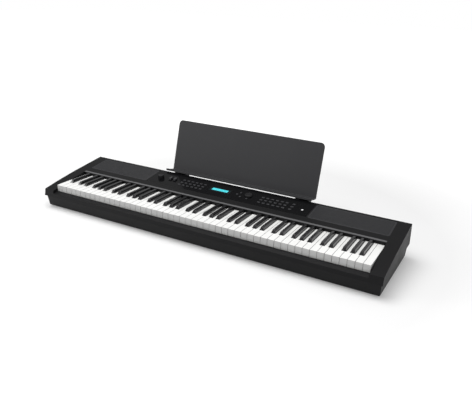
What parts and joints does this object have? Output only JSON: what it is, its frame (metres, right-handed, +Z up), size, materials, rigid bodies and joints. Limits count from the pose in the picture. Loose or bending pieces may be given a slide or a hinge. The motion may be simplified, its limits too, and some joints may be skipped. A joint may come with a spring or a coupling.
{
  "type": "digital piano",
  "caption": "Slab digital piano: full-length keyboard in a dark shell, sloped control panel between two speaker grilles, lift-off music rest at the back.",
  "frame": {"origin": "middle of the bounding box's underside, on the floor between the feet", "axes": "+X along the keyboard to the treble end, +Y from the player to the back, +Z up"},
  "size_m": [1.312, 0.4134, 0.3133],
  "materials": {
    "case_plastic": "fine matt grain, nearly black",
    "panel_gloss": "glossy black",
    "grille_paint": "matt dark grey, perforated",
    "white_keys": "smooth white",
    "black_keys": "semi-gloss black",
    "button_plastic": "satin dark grey",
    "power_cap": "pale satin",
    "display_glass": "backlit cyan screen behind a clear window",
    "rest_paint": "satin mid grey",
    "steel": "plain sheet steel",
    "circuit_board": "green board",
    "rubber": "black rubber",
    "felt": "dark red felt",
    "speaker_cone": "black paper and steel"
  },
  "bodies": {
    "instrument": {"top_case": "case_plastic", "bottom_case": "case_plastic", "rest_bracket_left": "case_plastic", "rest_bracket_right": "case_plastic", "rear_jack_block": "case_plastic", "power_inlet": "case_plastic", "control_panel": "panel_gloss", "speaker_grille_left": "grille_paint", "speaker_grille_right": "grille_paint", "display_window": "display_glass", "key_chassis": "steel", "key_contact_board": "circuit_board", "panel_board": "circuit_board", "main_board": "circuit_board", "display_module": "circuit_board", "contact_rubber_strip": "rubber", "foot_front_left": "rubber", "foot_front_right": "rubber", "foot_rear_left": "rubber", "foot_rear_right": "rubber", "key_stop_felt": "felt", "speaker_left": "speaker_cone", "speaker_right": "speaker_cone"},
    "keys_outer_1_body": {"keys_outer_1": "white_keys"},
    "keys_inner_1_body": {"keys_inner_1": "white_keys"},
    "keys_black_1_body": {"keys_black_1": "black_keys"},
    "keys_outer_2_body": {"keys_outer_2": "white_keys"},
    "keys_inner_2_body": {"keys_inner_2": "white_keys"},
    "keys_black_2_body": {"keys_black_2": "black_keys"},
    "keys_outer_3_body": {"keys_outer_3": "white_keys"},
    "keys_inner_3_body": {"keys_inner_3": "white_keys"},
    "keys_black_3_body": {"keys_black_3": "black_keys"},
    "keys_outer_4_body": {"keys_outer_4": "white_keys"},
    "keys_inner_4_body": {"keys_inner_4": "white_keys"},
    "keys_black_4_body": {"keys_black_4": "black_keys"},
    "keys_outer_5_body": {"keys_outer_5": "white_keys"},
    "keys_inner_5_body": {"keys_inner_5": "white_keys"},
    "keys_black_5_body": {"keys_black_5": "black_keys"},
    "keys_outer_6_body": {"keys_outer_6": "white_keys"},
    "keys_inner_6_body": {"keys_inner_6": "white_keys"},
    "keys_black_6_body": {"keys_black_6": "black_keys"},
    "keys_outer_7_body": {"keys_outer_7": "white_keys"},
    "keys_inner_7_body": {"keys_inner_7": "white_keys"},
    "keys_black_7_body": {"keys_black_7": "black_keys"},
    "buttons_left_1_body": {"buttons_left_1": "button_plastic"},
    "buttons_left_2_body": {"buttons_left_2": "button_plastic"},
    "buttons_left_3_body": {"buttons_left_3": "button_plastic"},
    "buttons_right_1_body": {"buttons_right_1": "button_plastic"},
    "buttons_right_2_body": {"buttons_right_2": "button_plastic"},
    "buttons_right_3_body": {"buttons_right_3": "button_plastic"},
    "menu_buttons_body": {"menu_buttons": "button_plastic"},
    "volume_knob_body": {"volume_knob": "button_plastic"},
    "data_dial_body": {"data_dial": "button_plastic"},
    "slider_cap_1_body": {"slider_cap_1": "button_plastic"},
    "slider_cap_2_body": {"slider_cap_2": "button_plastic"},
    "power_button_body": {"power_button": "power_cap"},
    "music_rest_body": {"music_rest": "rest_paint"}
  },
  "joints": [
    {"name": "press_keys_outer_1", "type": "hinge", "parent": "instrument", "child": "keys_outer_1_body", "pos_m": [0, 0.01375, 0.07205], "axis": [1, 0, 0], "range_deg": [0, 2.9], "stiffness_Nm_per_rad": 8, "springref_deg": -3.44},
    {"name": "press_keys_inner_1", "type": "hinge", "parent": "instrument", "child": "keys_inner_1_body", "pos_m": [0, 0.01375, 0.07755], "axis": [1, 0, 0], "range_deg": [0, 2.9], "stiffness_Nm_per_rad": 8, "springref_deg": -3.44},
    {"name": "press_keys_black_1", "type": "hinge", "parent": "instrument", "child": "keys_black_1_body", "pos_m": [0, 0.01375, 0.08305], "axis": [1, 0, 0], "range_deg": [0, 2.9], "stiffness_Nm_per_rad": 8, "springref_deg": -3.44},
    {"name": "press_keys_outer_2", "type": "hinge", "parent": "instrument", "child": "keys_outer_2_body", "pos_m": [0, 0.01375, 0.07205], "axis": [1, 0, 0], "range_deg": [0, 2.9], "stiffness_Nm_per_rad": 8, "springref_deg": -3.44},
    {"name": "press_keys_inner_2", "type": "hinge", "parent": "instrument", "child": "keys_inner_2_body", "pos_m": [0, 0.01375, 0.07755], "axis": [1, 0, 0], "range_deg": [0, 2.9], "stiffness_Nm_per_rad": 8, "springref_deg": -3.44},
    {"name": "press_keys_black_2", "type": "hinge", "parent": "instrument", "child": "keys_black_2_body", "pos_m": [0, 0.01375, 0.08305], "axis": [1, 0, 0], "range_deg": [0, 2.9], "stiffness_Nm_per_rad": 8, "springref_deg": -3.44},
    {"name": "press_keys_outer_3", "type": "hinge", "parent": "instrument", "child": "keys_outer_3_body", "pos_m": [0, 0.01375, 0.07205], "axis": [1, 0, 0], "range_deg": [0, 2.9], "stiffness_Nm_per_rad": 8, "springref_deg": -3.44},
    {"name": "press_keys_inner_3", "type": "hinge", "parent": "instrument", "child": "keys_inner_3_body", "pos_m": [0, 0.01375, 0.07755], "axis": [1, 0, 0], "range_deg": [0, 2.9], "stiffness_Nm_per_rad": 8, "springref_deg": -3.44},
    {"name": "press_keys_black_3", "type": "hinge", "parent": "instrument", "child": "keys_black_3_body", "pos_m": [0, 0.01375, 0.08305], "axis": [1, 0, 0], "range_deg": [0, 2.9], "stiffness_Nm_per_rad": 8, "springref_deg": -3.44},
    {"name": "press_keys_outer_4", "type": "hinge", "parent": "instrument", "child": "keys_outer_4_body", "pos_m": [0, 0.01375, 0.07205], "axis": [1, 0, 0], "range_deg": [0, 2.9], "stiffness_Nm_per_rad": 8, "springref_deg": -3.44},
    {"name": "press_keys_inner_4", "type": "hinge", "parent": "instrument", "child": "keys_inner_4_body", "pos_m": [0, 0.01375, 0.07755], "axis": [1, 0, 0], "range_deg": [0, 2.9], "stiffness_Nm_per_rad": 8, "springref_deg": -3.44},
    {"name": "press_keys_black_4", "type": "hinge", "parent": "instrument", "child": "keys_black_4_body", "pos_m": [0, 0.01375, 0.08305], "axis": [1, 0, 0], "range_deg": [0, 2.9], "stiffness_Nm_per_rad": 8, "springref_deg": -3.44},
    {"name": "press_keys_outer_5", "type": "hinge", "parent": "instrument", "child": "keys_outer_5_body", "pos_m": [0, 0.01375, 0.07205], "axis": [1, 0, 0], "range_deg": [0, 2.9], "stiffness_Nm_per_rad": 8, "springref_deg": -3.44},
    {"name": "press_keys_inner_5", "type": "hinge", "parent": "instrument", "child": "keys_inner_5_body", "pos_m": [0, 0.01375, 0.07755], "axis": [1, 0, 0], "range_deg": [0, 2.9], "stiffness_Nm_per_rad": 8, "springref_deg": -3.44},
    {"name": "press_keys_black_5", "type": "hinge", "parent": "instrument", "child": "keys_black_5_body", "pos_m": [0, 0.01375, 0.08305], "axis": [1, 0, 0], "range_deg": [0, 2.9], "stiffness_Nm_per_rad": 8, "springref_deg": -3.44},
    {"name": "press_keys_outer_6", "type": "hinge", "parent": "instrument", "child": "keys_outer_6_body", "pos_m": [0, 0.01375, 0.07205], "axis": [1, 0, 0], "range_deg": [0, 2.9], "stiffness_Nm_per_rad": 8, "springref_deg": -3.44},
    {"name": "press_keys_inner_6", "type": "hinge", "parent": "instrument", "child": "keys_inner_6_body", "pos_m": [0, 0.01375, 0.07755], "axis": [1, 0, 0], "range_deg": [0, 2.9], "stiffness_Nm_per_rad": 8, "springref_deg": -3.44},
    {"name": "press_keys_black_6", "type": "hinge", "parent": "instrument", "child": "keys_black_6_body", "pos_m": [0, 0.01375, 0.08305], "axis": [1, 0, 0], "range_deg": [0, 2.9], "stiffness_Nm_per_rad": 8, "springref_deg": -3.44},
    {"name": "press_keys_outer_7", "type": "hinge", "parent": "instrument", "child": "keys_outer_7_body", "pos_m": [0, 0.01375, 0.07205], "axis": [1, 0, 0], "range_deg": [0, 2.9], "stiffness_Nm_per_rad": 8, "springref_deg": -3.44},
    {"name": "press_keys_inner_7", "type": "hinge", "parent": "instrument", "child": "keys_inner_7_body", "pos_m": [0, 0.01375, 0.07755], "axis": [1, 0, 0], "range_deg": [0, 2.9], "stiffness_Nm_per_rad": 8, "springref_deg": -3.44},
    {"name": "press_keys_black_7", "type": "hinge", "parent": "instrument", "child": "keys_black_7_body", "pos_m": [0, 0.01375, 0.08305], "axis": [1, 0, 0], "range_deg": [0, 2.9], "stiffness_Nm_per_rad": 8, "springref_deg": -3.44},
    {"name": "press_buttons_left_1", "type": "slide", "parent": "instrument", "child": "buttons_left_1_body", "axis": [0, 0.1348, -0.9909], "range_m": [0, 0.001], "stiffness_N_per_m": 400, "springref_m": -0.001},
    {"name": "press_buttons_left_2", "type": "slide", "parent": "instrument", "child": "buttons_left_2_body", "axis": [0, 0.1348, -0.9909], "range_m": [0, 0.001], "stiffness_N_per_m": 400, "springref_m": -0.001},
    {"name": "press_buttons_left_3", "type": "slide", "parent": "instrument", "child": "buttons_left_3_body", "axis": [0, 0.1348, -0.9909], "range_m": [0, 0.001], "stiffness_N_per_m": 400, "springref_m": -0.001},
    {"name": "press_buttons_right_1", "type": "slide", "parent": "instrument", "child": "buttons_right_1_body", "axis": [0, 0.1348, -0.9909], "range_m": [0, 0.001], "stiffness_N_per_m": 400, "springref_m": -0.001},
    {"name": "press_buttons_right_2", "type": "slide", "parent": "instrument", "child": "buttons_right_2_body", "axis": [0, 0.1348, -0.9909], "range_m": [0, 0.001], "stiffness_N_per_m": 400, "springref_m": -0.001},
    {"name": "press_buttons_right_3", "type": "slide", "parent": "instrument", "child": "buttons_right_3_body", "axis": [0, 0.1348, -0.9909], "range_m": [0, 0.001], "stiffness_N_per_m": 400, "springref_m": -0.001},
    {"name": "press_menu_buttons", "type": "slide", "parent": "instrument", "child": "menu_buttons_body", "axis": [0, 0.1348, -0.9909], "range_m": [0, 0.001], "stiffness_N_per_m": 400, "springref_m": -0.001},
    {"name": "press_power_button", "type": "slide", "parent": "instrument", "child": "power_button_body", "axis": [0, 0.1348, -0.9909], "range_m": [0, 0.0012], "stiffness_N_per_m": 400, "springref_m": -0.001},
    {"name": "turn_volume_knob", "type": "hinge", "parent": "instrument", "child": "volume_knob_body", "pos_m": [-0.292, 0.0497, 0.11536], "axis": [0, -0.1348, 0.9909], "range_deg": [-150, 150]},
    {"name": "turn_data_dial", "type": "hinge", "parent": "instrument", "child": "data_dial_body", "pos_m": [0.088, 0.05862, 0.11657], "axis": [0, -0.1348, 0.9909], "continuous": true},
    {"name": "slide_cap_1", "type": "slide", "parent": "instrument", "child": "slider_cap_1_body", "axis": [0, 0.9909, 0.1348], "range_m": [-0.013, 0.013]},
    {"name": "slide_cap_2", "type": "slide", "parent": "instrument", "child": "slider_cap_2_body", "axis": [0, 0.9909, 0.1348], "range_m": [-0.013, 0.013]},
    {"name": "lift_music_rest", "type": "slide", "parent": "instrument", "child": "music_rest_body", "axis": [0, 0.2532, 0.9674], "range_m": [0, 0.05]}
  ]
}
